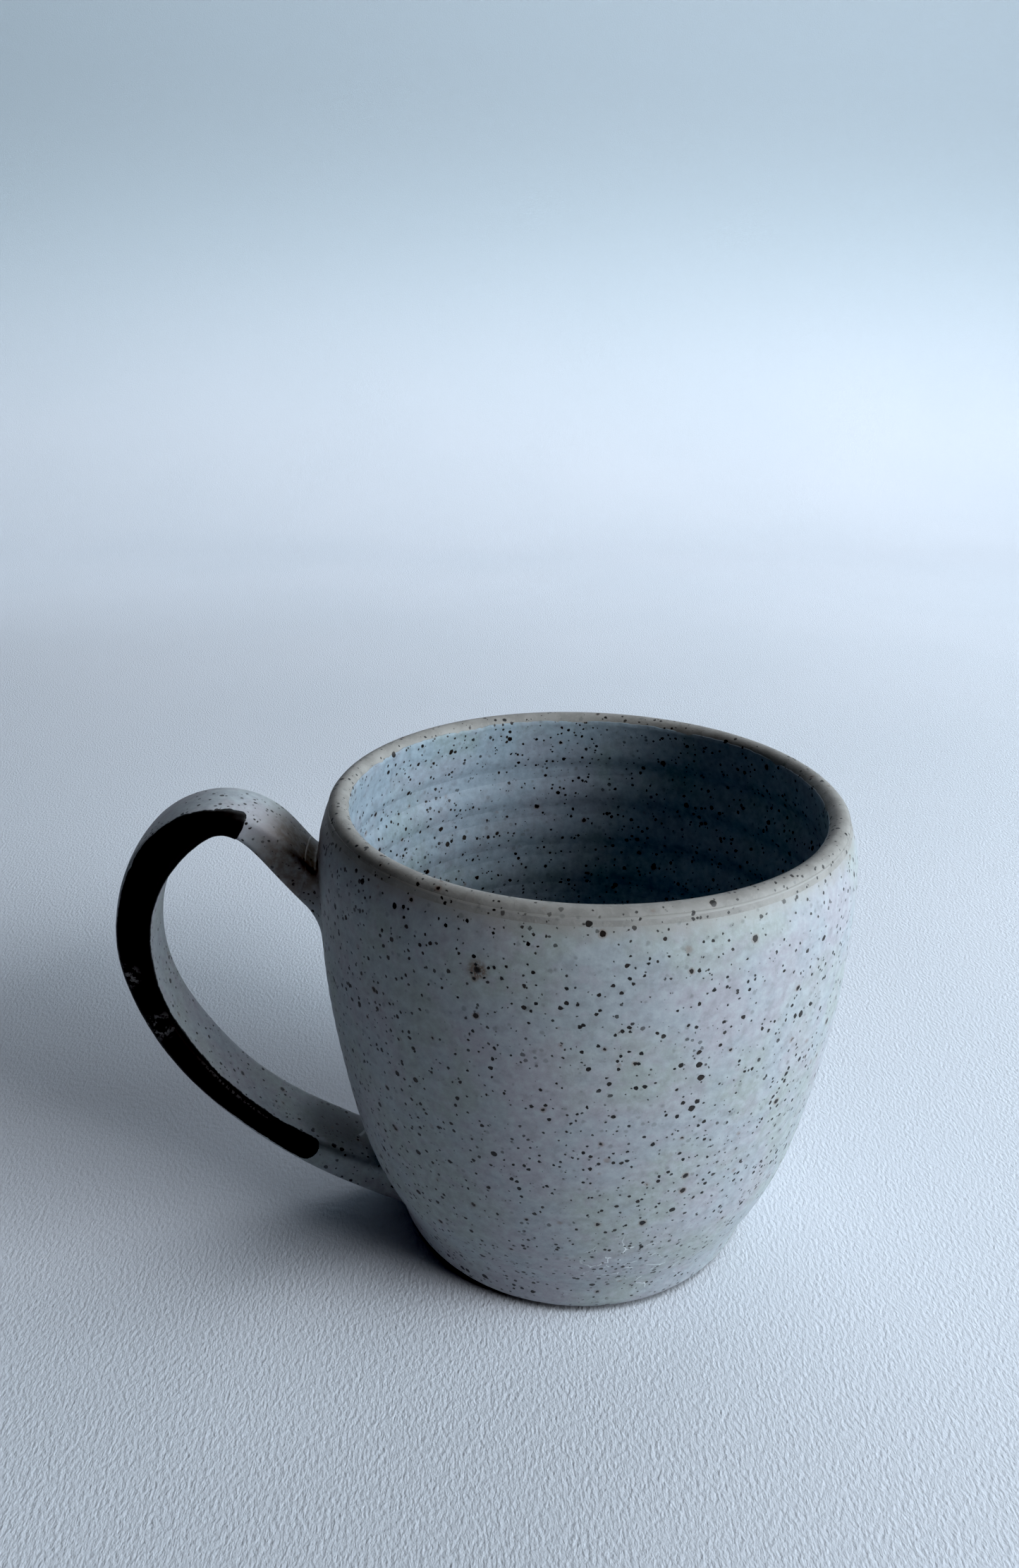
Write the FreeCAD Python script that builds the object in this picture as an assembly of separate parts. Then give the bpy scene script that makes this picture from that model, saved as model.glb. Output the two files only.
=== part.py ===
import FreeCAD, Part
import math
import os

# Hand-thrown stoneware mug with a pulled strap handle.
# Millimetres.  +Z is up, the origin is the centre of the foot's resting plane,
# and the handle stands out towards -X.

V = FreeCAD.Vector

# ---------------------------------------------------------------- overall form
MUG_HEIGHT = 82.5            # table to the top of the rim
BELLY_DIA = 90.0             # widest diameter, just under the rim
FOOT_DIA = 59.0              # outside of the ring it stands on
BELLY_BELOW_RIM = 14.7       # widest point, measured down from the rim
RIM_DIA = 86.2               # outside diameter where the rounded rim begins
RIM_ROUND = 1.8              # radius of the rounded rim
RIM_START = 16.0             # degrees up the rim's round where the outside begins
RIM_FINISH = 192.0           # degrees round it where the inside begins
WALL = 4.1                   # side wall, glaze included
FLOOR = 6.0                  # floor thickness above the table at the centre
HEEL_ROUND = 15.0            # inside curve between floor and wall
FLOOR_DISH = 0.4             # how much the floor rises out to the heel curve

# ---------------------------------------------------------------- trimmed foot
FOOT_RING = 4.6              # width of the standing ring
FOOT_RECESS = 1.4            # depth of the shallow trimmed recess
BARE_FOOT = 1.5              # clay left unglazed above the table

# ---------------------------------------------------------------- glaze coats
GLAZE = 0.4                  # thickness of a glaze coat
RIM_BARE = 2.8               # height at the rim where the coats break thin

# ---------------------------------------------------------------- finger marks
RING_DEPTH = 0.28            # height of the soft throwing rings inside
RING_PITCH = 8.6             # rise from one ring to the next
RING_FREE = 0.6              # smooth height left between the rings and the rim

# ---------------------------------------------------------------- strap handle
HANDLE_REACH = 34.3          # how far the strap stands out past the belly
HANDLE_DROP = 0.8            # top of the handle, measured down from the rim
TOP_ROOT = 18.5              # strap centre at the wall, measured down from rim
LOW_ROOT = 6.0               # strap centre at the wall, measured up from table
STRAP_WIDTH = 13.9           # strap width at the table's level
STRAP_TAPER = 1.9            # how much narrower the strap is at its crown
STRAP_THICK = 5.9            # strap thickness where it stands out furthest
STRAP_EDGE = 1.3             # rounding of the strap's four long edges
ROOT_SUNK = 1.8              # where the strap's curve starts, inside the wall
ROOT_DEEP = 5.0              # how far the strap runs on from there before trimming
ROOT_BEND = 0.5              # share of its slope the strap keeps inside the low root
BAND_INSET = 0.5             # pale edge left outside the dark band
BAND_WRAP = 1.7              # how far the dark band turns over the edge
BAND_START = 0.182           # ends of the dark band, as stations along the strap
BAND_END = 0.829

# ---------------------------------------------------------------- joint fillets
JOINT_STEP = 0.35            # thickness of the slip at its thin edge
JOINT_FLARE = 2.6            # extra height of the slip where it meets the wall
JOINT_SIDE = 1.6             # extra width at each side where it meets the wall
JOINT_RUN = 6.0              # how far the slip runs out along the strap
JOINT_SUNK = 1.6             # how deep the slip starts inside the wall
JOINT_SOFT = 1.2             # extra rounding of the slip where it meets the wall
TABLE_GAP = 0.9              # clear height kept under the lower joint

# ------------------------------------------------------------- derived values
belly_r = BELLY_DIA / 2.0
foot_r = FOOT_DIA / 2.0
rim_r = RIM_DIA / 2.0
belly_z = MUG_HEIGHT - BELLY_BELOW_RIM
rim_mid_r = rim_r - RIM_ROUND
rim_mid_z = MUG_HEIGHT - RIM_ROUND
glaze_top = MUG_HEIGHT - RIM_BARE

# The thrown curve between foot and belly: (share of the way up, share of the way
# out), and one point of the shoulder between belly and rim, measured down from the
# rim and out from it.
SHOULDER = (0.40, 0.70)
THROWN_CURVE = ((0.035, 0.15), (0.10, 0.25), (0.19, 0.425), (0.333, 0.65),
                (0.50, 0.806), (0.667, 0.921), (0.833, 0.985))

# The pulled curve of the handle, from the top root round to the low one: (share of
# the reach, share of the height between the lower root and the crown, thickness as
# a share of STRAP_THICK).
PULLED_CURVE = ((0.153, 0.900, 0.99), (0.290, 0.966, 0.95), (0.465, 1.000, 0.80),
                (0.697, 0.967, 1.07), (0.853, 0.900, 1.17), (0.965, 0.791, 1.05),
                (0.997, 0.671, 0.98), (0.930, 0.529, 0.86), (0.752, 0.377, 0.85),
                (0.471, 0.232, 0.83), (0.178, 0.132, 0.91), (-0.134, 0.053, 1.03))
ROOT_SHARE = 0.98            # thickness shares at the top root and at the crown
CROWN_SHARE = 0.80
LOW_SHARE = 1.03             # thickness share at the lower root

# How the slip's flare dies away: (share of its run along the strap, share of flare).
SLIP_CURVE = ((0.0, 1.0), (0.22, 0.52), (0.55, 0.17), (1.0, 0.0))


def spline(points):
    curve = Part.BSplineCurve()
    curve.interpolate(points)
    return curve


def wall_points(inset):
    """Outside of the wall from the table to the rounded rim, pushed in by inset."""
    pts = [V(foot_r - inset, 0, 0)]
    for up, out in THROWN_CURVE:
        pts.append(V(foot_r + out * (belly_r - foot_r) - inset, 0, up * belly_z))
    pts.append(V(belly_r - inset, 0, belly_z))
    mid_r = rim_r + SHOULDER[1] * (belly_r - rim_r)
    pts.append(V(mid_r - inset, 0, MUG_HEIGHT - SHOULDER[0] * BELLY_BELOW_RIM))
    lean = math.radians(RIM_START)
    end_r = rim_mid_r + RIM_ROUND * math.cos(lean)
    end_z = rim_mid_z + RIM_ROUND * math.sin(lean)
    pts.append(V(end_r - inset, 0, end_z))
    return pts


wall_curve = spline(wall_points(0.0))


def wall_radius(z):
    """Outside radius of the mug at a height."""
    hits = wall_curve.intersect(Part.Line(V(0, 0, z), V(100, 0, z)))
    best = [p for p in hits if abs(p.Z - z) < 1e-4 and p.X > 0]
    return best[0].X


def cavity_points(extra):
    """Inside of the mug from the floor's centre to the rim, pushed out by extra."""
    raw = [(0.0, FLOOR)]
    heel_z = FLOOR + HEEL_ROUND
    heel_r = wall_radius(heel_z) - WALL
    # dished floor sweeping up into the wall
    for i in range(1, 9):
        a = math.radians(90.0 * i / 9.0)
        r = heel_r - HEEL_ROUND + HEEL_ROUND * math.sin(a)
        z = heel_z - (HEEL_ROUND - FLOOR_DISH) * math.cos(a) - FLOOR_DISH
        if i == 1:
            raw.append((r / 2.0, FLOOR + FLOOR_DISH / 4.0))
        raw.append((r, z))
    top = glaze_top - RING_FREE
    count = 34
    for i in range(count + 1):
        z = heel_z + (top - heel_z) * i / count
        fade = min(1.0, (i + 1) / 6.0, (count - i) / 6.0)
        ring = RING_DEPTH * fade * math.sin(2 * math.pi * (z - heel_z) / RING_PITCH)
        raw.append((wall_radius(z) - WALL - ring, z))
    lean = math.radians(RIM_FINISH)
    raw.append((rim_mid_r + RIM_ROUND * math.cos(lean),
                rim_mid_z + RIM_ROUND * math.sin(lean)))
    out = []
    for i, (r, z) in enumerate(raw):
        a = raw[max(0, i - 1)]
        b = raw[min(len(raw) - 1, i + 1)]
        dr = b[0] - a[0]
        dz = b[1] - a[1]
        n = math.hypot(dr, dz)
        if i == 0:
            out.append(V(0, 0, z - extra))
        else:
            out.append(V(r + extra * dz / n, 0, z - extra * dr / n))
    return out


def line(a, b):
    return Part.makeLine(a, b)


def face(edges):
    return Part.Face(Part.Wire(Part.__sortEdges__(edges)))


def spin(flat):
    solid = flat.revolve(V(0, 0, 0), V(0, 0, 1), 360)
    return solid if solid.ShapeType == "Solid" else Part.Solid(solid.Shells[0])


def filled(curve_pts):
    """Flat half section between the axis and a curve that climbs from below."""
    edges = [spline(curve_pts).toShape()]
    low = curve_pts[0]
    high = curve_pts[-1]
    if low.x > 1e-6:
        edges.append(line(V(0, 0, low.z), low))
    edges.append(line(high, V(0, 0, high.z)))
    edges.append(line(V(0, 0, high.z), V(0, 0, low.z)))
    return face(edges)


def block(z0, z1):
    return face([line(V(0, 0, z0), V(200, 0, z0)), line(V(200, 0, z0), V(200, 0, z1)),
                 line(V(200, 0, z1), V(0, 0, z1)), line(V(0, 0, z1), V(0, 0, z0))])


def solid_of(shape):
    """The one solid in a boolean's result."""
    parts = sorted(shape.Solids, key=lambda s: s.Volume)
    return parts[-1]


# --------------------------------------------------------------- clay and glaze
outer_pts = wall_points(0.0)
inner_pts = cavity_points(0.0)
foot_in = foot_r - FOOT_RING
rim_arc = Part.Arc(outer_pts[-1],
                   V(rim_mid_r, 0, MUG_HEIGHT),
                   inner_pts[-1])
section = face([
    line(V(0, 0, FOOT_RECESS), V(foot_in - FOOT_RECESS, 0, FOOT_RECESS)),
    line(V(foot_in - FOOT_RECESS, 0, FOOT_RECESS), V(foot_in, 0, 0)),
    line(V(foot_in, 0, 0), V(foot_r, 0, 0)),
    spline(outer_pts).toShape(),
    rim_arc.toShape(),
    spline(inner_pts).toShape(),
    line(V(0, 0, inner_pts[0].z), V(0, 0, FOOT_RECESS)),
])

inside_glaze = filled(wall_points(GLAZE))
outside = filled(outer_pts)
glaze_flat = outside.cut(inside_glaze).common(block(BARE_FOOT, glaze_top))
liner_flat = filled(cavity_points(GLAZE)).cut(filled(inner_pts))
liner_flat = liner_flat.common(block(-10.0, glaze_top))
clay_flat = section.cut(glaze_flat).cut(liner_flat)

body = spin(clay_flat.Faces[0])
outer_glaze = spin(glaze_flat.Faces[0])
liner_glaze = spin(liner_flat.Faces[0])
envelope = spin(outside)
clay_envelope = envelope.cut(outer_glaze)

# --------------------------------------------------------------- strap handle
crown_z = MUG_HEIGHT - HANDLE_DROP - STRAP_THICK * CROWN_SHARE / 2.0
reach = HANDLE_REACH - STRAP_THICK / 2.0
top_root_z = MUG_HEIGHT - TOP_ROOT
low_r = wall_radius(LOW_ROOT)
strap_line = [V(-(wall_radius(top_root_z) - ROOT_SUNK), 0, top_root_z)]
strap_share = [ROOT_SHARE]
for out, up, share in PULLED_CURVE:
    z = LOW_ROOT + up * (crown_z - LOW_ROOT)
    strap_line.append(V(-(belly_r + out * reach), 0, z))
    strap_share.append(share)
strap_line.append(V(-(low_r - ROOT_SUNK), 0, LOW_ROOT - ROOT_SUNK / 2.0))
strap_share.append(LOW_SHARE)
# both ends run on inside the clay, the lower one bending towards the level
run_in = strap_line[0] - strap_line[1]
strap_line.insert(0, strap_line[0] + run_in * (ROOT_DEEP / run_in.Length))
strap_share.insert(0, ROOT_SHARE)
run_out = strap_line[-1] - strap_line[-2]
run_out.z *= ROOT_BEND
strap_line.append(strap_line[-1] + run_out * (ROOT_DEEP / run_out.Length))
strap_share.append(LOW_SHARE)
centre = spline(strap_line)
u_first = centre.FirstParameter
u_span = centre.LastParameter - u_first
station = [(centre.parameter(p) - u_first) / u_span for p in strap_line]
# thickness as a smooth curve over the stations
thick_curve = spline([V(100.0 * t, 0, STRAP_THICK * k) for t, k in zip(station, strap_share)])


def thickness(share):
    """Thickness of the strap at a station from 0 to 1."""
    at = min(99.999, max(0.001, 100.0 * share))
    hits = thick_curve.intersect(Part.Line(V(at, 0, -100), V(at, 0, 100)))
    return hits[0].Z


def centre_frame(share):
    """Point on the strap's centre line and the direction away from the finger gap."""
    u = u_first + u_span * share
    t = centre.tangent(u)[0]
    return centre.value(u), V(t.z, 0, -t.x)


def strap_side(side, inset, count=34):
    """Points on one face of the strap, half a thickness away from its centre."""
    pts = []
    for i in range(count + 1):
        p, n = centre_frame(i / count)
        pts.append(p + n * (side * (thickness(i / count) / 2.0 - inset)))
    return pts


def half_width(z):
    """Half the strap's width at a height: it narrows steadily towards the crown."""
    return (STRAP_WIDTH - STRAP_TAPER * z / MUG_HEIGHT) / 2.0


def between_cheeks(inset):
    """The room between the strap's two side faces, drawn in by inset."""
    low = -STRAP_THICK
    high = MUG_HEIGHT + STRAP_THICK
    far = -(belly_r + HANDLE_REACH + STRAP_THICK)
    corners = [V(far, -half_width(low) + inset, low), V(far, half_width(low) - inset, low),
               V(far, half_width(high) - inset, high), V(far, -half_width(high) + inset, high)]
    across = face([line(corners[i], corners[(i + 1) % 4]) for i in range(4)])
    return across.extrude(V(-far, 0, 0))


def strap(inset):
    """The pulled strap as a rounded bar, drawn in by inset on every face."""
    a = strap_side(1.0, inset)
    b = strap_side(-1.0, inset)
    flat = face([spline(a).toShape(), spline(b).toShape(),
                 line(a[0], b[0]), line(a[-1], b[-1])])
    bar = flat.extrude(V(0, 2 * STRAP_WIDTH, 0))
    bar.translate(V(0, -STRAP_WIDTH, 0))
    bar = bar.common(between_cheeks(inset))
    long_edges = [e for e in bar.Edges if e.BoundBox.XLength > STRAP_THICK * 2]
    return bar.makeFillet(STRAP_EDGE - inset, long_edges)


def rounded_frame(x, z, high, wide, round_r):
    """Rounded rectangle standing in a plane of constant X."""
    h = high / 2.0
    w = wide / 2.0
    r = min(round_r, h * 0.8, w * 0.8)
    c = r * (1.0 - math.sqrt(0.5))
    corners = ((1, 1), (-1, 1), (-1, -1), (1, -1))
    edges = []
    ends = []
    for sy, sz in corners:
        p = V(x, sy * w, z + sz * (h - r))
        q = V(x, sy * (w - c), z + sz * (h - c))
        s = V(x, sy * (w - r), z + sz * h)
        if sy * sz > 0:
            edges.append(Part.Arc(p, q, s).toShape())
            ends.append((p, s))
        else:
            edges.append(Part.Arc(s, q, p).toShape())
            ends.append((s, p))
    wires = []
    for i in range(4):
        wires.append(edges[i])
        wires.append(line(ends[i][1], ends[(i + 1) % 4][0]))
    return Part.Wire(wires)


def centre_at(x, near_top):
    """Height and slope of the strap's centre where it crosses a plane of X."""
    best = None
    for i in range(401):
        share = 0.4 * i / 400.0
        if not near_top:
            share = 1.0 - share
        p, n = centre_frame(share)
        gap = abs(p.x - x)
        if best is None or gap < best[0]:
            best = (gap, p.z, thickness(share) / max(0.35, abs(n.z)))
    return best[1], best[2]


def joint(near_top, wall_r):
    """Slip pressed round the strap's root, flaring into the wall."""
    frames = []
    for share, flare in SLIP_CURVE:
        x = -(wall_r - JOINT_SUNK + (JOINT_RUN + JOINT_SUNK) * share)
        z, high = centre_at(x, near_top)
        above = high / 2.0 + JOINT_STEP + JOINT_FLARE * flare
        below = high / 2.0 + JOINT_STEP + JOINT_FLARE * flare
        if not near_top:
            below = min(below, z - TABLE_GAP)
        wide = 2 * (half_width(z) + JOINT_STEP + JOINT_SIDE * flare)
        frames.append(rounded_frame(x, z + (above - below) / 2.0, above + below, wide,
                                    STRAP_EDGE + JOINT_STEP + JOINT_SOFT * flare))
    return Part.makeLoft(frames, True, False)


strap_out = strap(0.0)
strap_clay = strap(GLAZE)
handle = solid_of(strap_clay.cut(clay_envelope))

upper_joint = joint(True, wall_radius(top_root_z))
lower_joint = joint(False, low_r)
upper_joint = solid_of(upper_joint.cut(clay_envelope).cut(strap_clay))
lower_joint = solid_of(lower_joint.cut(clay_envelope).cut(strap_clay))

coat = strap_out.cut(strap_clay).cut(envelope)
coat = solid_of(coat.cut(upper_joint).cut(lower_joint))

# Dark glaze on the near side face: it stops short of the outer edge and turns
# over the inner one.
rim_side = []
gap_side = []
steps = 24
for i in range(steps + 1):
    share = BAND_START + (BAND_END - BAND_START) * i / steps
    p, n = centre_frame(share)
    rim_side.append(p + n * (thickness(share) / 2.0 - BAND_INSET))
    gap_side.append(p - n * (thickness(share) / 2.0 + 1.0))
tail = (rim_side[-1] + gap_side[-1]) * 0.5
tail_out = centre.tangent(u_first + u_span * BAND_END)[0] * (STRAP_THICK * 0.35)
band_flat = face([spline(rim_side).toShape(), spline(gap_side).toShape(),
                  line(rim_side[0], gap_side[0]),
                  Part.Arc(rim_side[-1], tail + tail_out, gap_side[-1]).toShape()])
band_tool = band_flat.extrude(V(0, -STRAP_WIDTH, 0)).cut(between_cheeks(BAND_WRAP))
handle_band = solid_of(coat.common(band_tool))
handle_glaze = solid_of(coat.cut(band_tool))

outer_glaze = solid_of(outer_glaze.cut(strap_out).cut(upper_joint).cut(lower_joint))

# --------------------------------------------------------------- write the nodes
NODES = {
    "body": body,
    "outer_glaze": outer_glaze,
    "liner_glaze": liner_glaze,
    "handle": handle,
    "handle_glaze": handle_glaze,
    "handle_band": handle_band,
    "upper_joint": upper_joint,
    "lower_joint": lower_joint,
}

os.makedirs("parts", exist_ok=True)
for name, shape in NODES.items():
    shape.exportStep("parts/" + name + ".step")
    box = shape.BoundBox
    print(name, shape.ShapeType, shape.isValid(), len(shape.Solids), round(shape.Volume, 1),
          [round(v, 2) for v in (box.XMin, box.XMax, box.YMin, box.YMax, box.ZMin, box.ZMax)])
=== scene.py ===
"""A speckled stoneware mug with a pulled strap handle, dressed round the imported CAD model."""
import math

import bmesh
import bpy
import numpy as np
from mathutils import Euler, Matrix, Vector
from mathutils.kdtree import KDTree


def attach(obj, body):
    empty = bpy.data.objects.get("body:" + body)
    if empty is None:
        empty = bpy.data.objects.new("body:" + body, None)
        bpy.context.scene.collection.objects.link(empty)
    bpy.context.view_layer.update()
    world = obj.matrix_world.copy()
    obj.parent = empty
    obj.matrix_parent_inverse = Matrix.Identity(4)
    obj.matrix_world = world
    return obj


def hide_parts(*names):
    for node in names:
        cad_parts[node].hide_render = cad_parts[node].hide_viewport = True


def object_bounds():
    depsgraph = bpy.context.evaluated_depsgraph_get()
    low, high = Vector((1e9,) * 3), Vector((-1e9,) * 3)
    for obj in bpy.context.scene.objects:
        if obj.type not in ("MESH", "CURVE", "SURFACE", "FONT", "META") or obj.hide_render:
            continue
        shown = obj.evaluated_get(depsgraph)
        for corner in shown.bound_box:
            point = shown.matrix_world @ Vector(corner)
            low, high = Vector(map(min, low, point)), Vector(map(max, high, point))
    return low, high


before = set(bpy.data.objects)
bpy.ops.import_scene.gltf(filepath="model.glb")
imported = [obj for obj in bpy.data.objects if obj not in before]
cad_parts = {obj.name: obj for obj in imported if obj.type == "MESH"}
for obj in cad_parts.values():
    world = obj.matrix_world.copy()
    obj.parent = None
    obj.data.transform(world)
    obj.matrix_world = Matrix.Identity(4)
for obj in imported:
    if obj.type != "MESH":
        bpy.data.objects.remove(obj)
cad_low, cad_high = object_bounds()

MM = 0.001
TAU = 2.0 * math.pi
SAME_PLACE = 1e-7               # metres within which two vertices are merged
NEAR_ENOUGH = 1e-4              # metres within which a vertex takes a place's strength

# ------------------------------------------------------------------ sizes, in mm
HEIGHT = cad_high.z / MM
BELLY_R = cad_high.x / MM
FOOT_R = 29.5
RIM_R = 43.1
RIM_ROUND = 1.8                 # radius of the lip's round
BELLY_BELOW_RIM = 14.7          # how far the widest place is below the rim
WALL = 4.1
FLOOR = 6.0
HEEL_ROUND = 15.0               # inside, between floor and wall
FOOT_RING = 4.6                 # width of the standing ring
FOOT_RECESS = 1.4               # hollow inside the standing ring
BARE_FOOT = 1.3                 # clay left bare above the table
GLAZE = 0.4
RIM_GLAZE = 0.15                # share of the glaze's thickness left at the rim
RING_DEPTH = 0.40               # height of the throwing rings inside
RING_PITCH = 8.6
STRAP_THICK = 5.9
STRAP_EDGE = 1.35               # round along the strap's edges
STRAP_CROWN = 0.25              # rise of its outer face
HANDLE_REACH = 34.3             # past the belly
HANDLE_DROP = 0.8               # crown of the handle below the rim
TOP_ROOT = 18.5                 # upper root below the rim
LOW_ROOT = 6.0                  # lower root above the table
ROOT_SUNK = 1.8                 # how far the strap's centre line runs into the wall
ROOT_DIP = 0.9                  # its fall on the way in at the lower root
LIP_START = math.radians(16.0)  # where the outer wall meets the lip's round
LIP_END = math.radians(192.0)   # where the lip's round meets the inner wall

# height up to the belly and radius out from the foot, as shares of both
THROWN_CURVE = ((0.035, 0.15), (0.10, 0.25), (0.19, 0.425), (0.333, 0.65),
                (0.50, 0.806), (0.667, 0.921), (0.833, 0.985))
# out, up and thickness along the pulled strap, as shares of reach, height and thickness
PULLED_CURVE = ((0.153, 0.900, 0.99), (0.290, 0.966, 0.95), (0.465, 1.000, 0.80),
                (0.697, 0.967, 1.07), (0.853, 0.900, 1.17), (0.965, 0.791, 1.05),
                (0.997, 0.671, 0.98), (0.930, 0.529, 0.86), (0.752, 0.377, 0.85),
                (0.471, 0.232, 0.83), (0.178, 0.132, 0.91), (-0.134, 0.053, 1.03))
CROWN_SHARE = 0.80
# width of the strap at shares of its length, in mm
STRAP_WIDTHS = ((0.0, 12.3), (0.15, 11.9), (0.30, 12.0), (0.45, 12.4), (0.60, 13.0),
                (0.75, 13.5), (0.90, 13.7), (1.0, 13.8))

belly_z = HEIGHT - BELLY_BELOW_RIM
rim_mid = np.array([RIM_R - RIM_ROUND, HEIGHT - RIM_ROUND])


def on_lip(angle, radius=RIM_ROUND):
    """Points (radius, height) on the lip's round at an angle up from the outside."""
    return rim_mid + np.expand_dims(radius, -1) * np.stack([np.cos(angle), np.sin(angle)], -1)


# ------------------------------------------------------------------ curves
def lengths(points):
    """Running length along a line of points."""
    return np.concatenate([[0.0], np.cumsum(np.linalg.norm(np.diff(points, axis=0), axis=1))])


def smooth_through(points, count):
    """Evenly spaced points on the natural cubic spline through the given points."""
    pts = np.array(points, float)
    n = len(pts)
    t = lengths(pts)
    h = np.diff(t)
    a = np.eye(n)
    b = np.zeros_like(pts)
    for i in range(1, n - 1):
        a[i, i - 1:i + 2] = h[i - 1], 2 * (h[i - 1] + h[i]), h[i]
        b[i] = 6 * ((pts[i + 1] - pts[i]) / h[i] - (pts[i] - pts[i - 1]) / h[i - 1])
    m = np.linalg.solve(a, b)
    fine = np.linspace(0, t[-1], count * 8)
    k = np.clip(np.searchsorted(t, fine, side="right") - 1, 0, n - 2)
    u = (t[k + 1] - fine)[:, None]
    v = (fine - t[k])[:, None]
    hk = h[k][:, None]
    out = (m[k] * u ** 3 + m[k + 1] * v ** 3) / (6 * hk)
    out += (pts[k] / hk - m[k] * hk / 6) * u + (pts[k + 1] / hk - m[k + 1] * hk / 6) * v
    run = lengths(out)
    even = np.linspace(0, run[-1], count)
    return np.stack([np.interp(even, run, out[:, j]) for j in range(pts.shape[1])], 1)


def wall_outline():
    """Outside of the cup, smooth, as (radius, height) from the foot to the lip."""
    pts = [(FOOT_R, 0.0)]
    pts += [(FOOT_R + out * (BELLY_R - FOOT_R), up * belly_z) for up, out in THROWN_CURVE]
    pts.append((BELLY_R, belly_z))
    pts.append((RIM_R + 0.7 * (BELLY_R - RIM_R), HEIGHT - 0.4 * BELLY_BELOW_RIM))
    pts.append(tuple(on_lip(LIP_START)))
    return smooth_through(pts, 600)


WALL_LINE = wall_outline()


def wall_r(z):
    """Radius of the cup's outside at a height."""
    return np.interp(z, WALL_LINE[:, 1], WALL_LINE[:, 0])


def inner_outline():
    """Inside of the cup, smooth, as (radius, height) from the floor's centre to the rim."""
    heel_z = FLOOR + HEEL_ROUND
    heel_r = float(wall_r(heel_z)) - WALL
    pts = [(0.0, FLOOR), ((heel_r - HEEL_ROUND) * 0.5, FLOOR + 0.05)]
    for deg in range(10, 90, 10):
        a = math.radians(deg)
        pts.append((heel_r - HEEL_ROUND + HEEL_ROUND * math.sin(a),
                    heel_z - (HEEL_ROUND - 0.4) * math.cos(a) - 0.4))
    for z in np.linspace(heel_z, HEIGHT - 3.4, 9):
        pts.append((float(wall_r(z)) - WALL, float(z)))
    pts.append(tuple(on_lip(LIP_END)))
    return smooth_through(pts, 400)


def swell(x, low, high):
    """Smooth step from 0 at low to 1 at high."""
    t = np.clip((x - low) / (high - low), 0.0, 1.0)
    return t * t * (3 - 2 * t)


def ripple(theta, waves, size):
    """A slow unevenness round the mug from waves given as (number round it, phase)."""
    out = np.zeros_like(theta)
    for k, (count, phase) in enumerate(waves):
        out = out + np.sin(count * theta + phase) / (1.0 + 0.5 * k)
    return out * size


# ------------------------------------------------------------------ mesh helpers
def grid_piece(name, points, material, node_name, close_rows=True, close_cols=True,
               capped=False):
    """A skin over a grid of points (rows, columns, xyz) in mm, in place of one CAD node."""
    rows, cols = points.shape[:2]
    verts = points.reshape(-1, 3)
    faces = []
    for i in range(rows if close_rows else rows - 1):
        a = i * cols
        b = ((i + 1) % rows) * cols
        for j in range(cols if close_cols else cols - 1):
            k = (j + 1) % cols
            faces.append((a + j, b + j, b + k, a + k))
    if capped:
        faces.append(tuple(range(cols)))
        faces.append(tuple(reversed([(rows - 1) * cols + j for j in range(cols)])))
    mesh = bpy.data.meshes.new(name)
    mesh.from_pydata((verts * MM).tolist(), [], faces)
    mesh.validate()
    mesh.update()
    bm = bmesh.new()
    bm.from_mesh(mesh)
    bmesh.ops.remove_doubles(bm, verts=bm.verts, dist=SAME_PLACE)
    bmesh.ops.recalc_face_normals(bm, faces=bm.faces)
    bm.to_mesh(mesh)
    bm.free()
    mesh.polygons.foreach_set("use_smooth", [True] * len(mesh.polygons))
    piece = bpy.data.objects.new(name, mesh)
    bpy.context.scene.collection.objects.link(piece)
    mesh.materials.append(material)
    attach(piece, "root")
    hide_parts(node_name)
    return piece


def turns(count):
    """Angles round the mug, one for each row of a grid."""
    return np.linspace(0, TAU, count, endpoint=False)[:, None]


def spun(theta, r, z):
    """Rows of points round the axis from radii and heights."""
    return np.stack([r * np.cos(theta), r * np.sin(theta), z], 2)


# ------------------------------------------------------------------ node helpers
MORE_SMALL = 1.6                # above 1, small specks outnumber large ones


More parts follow.
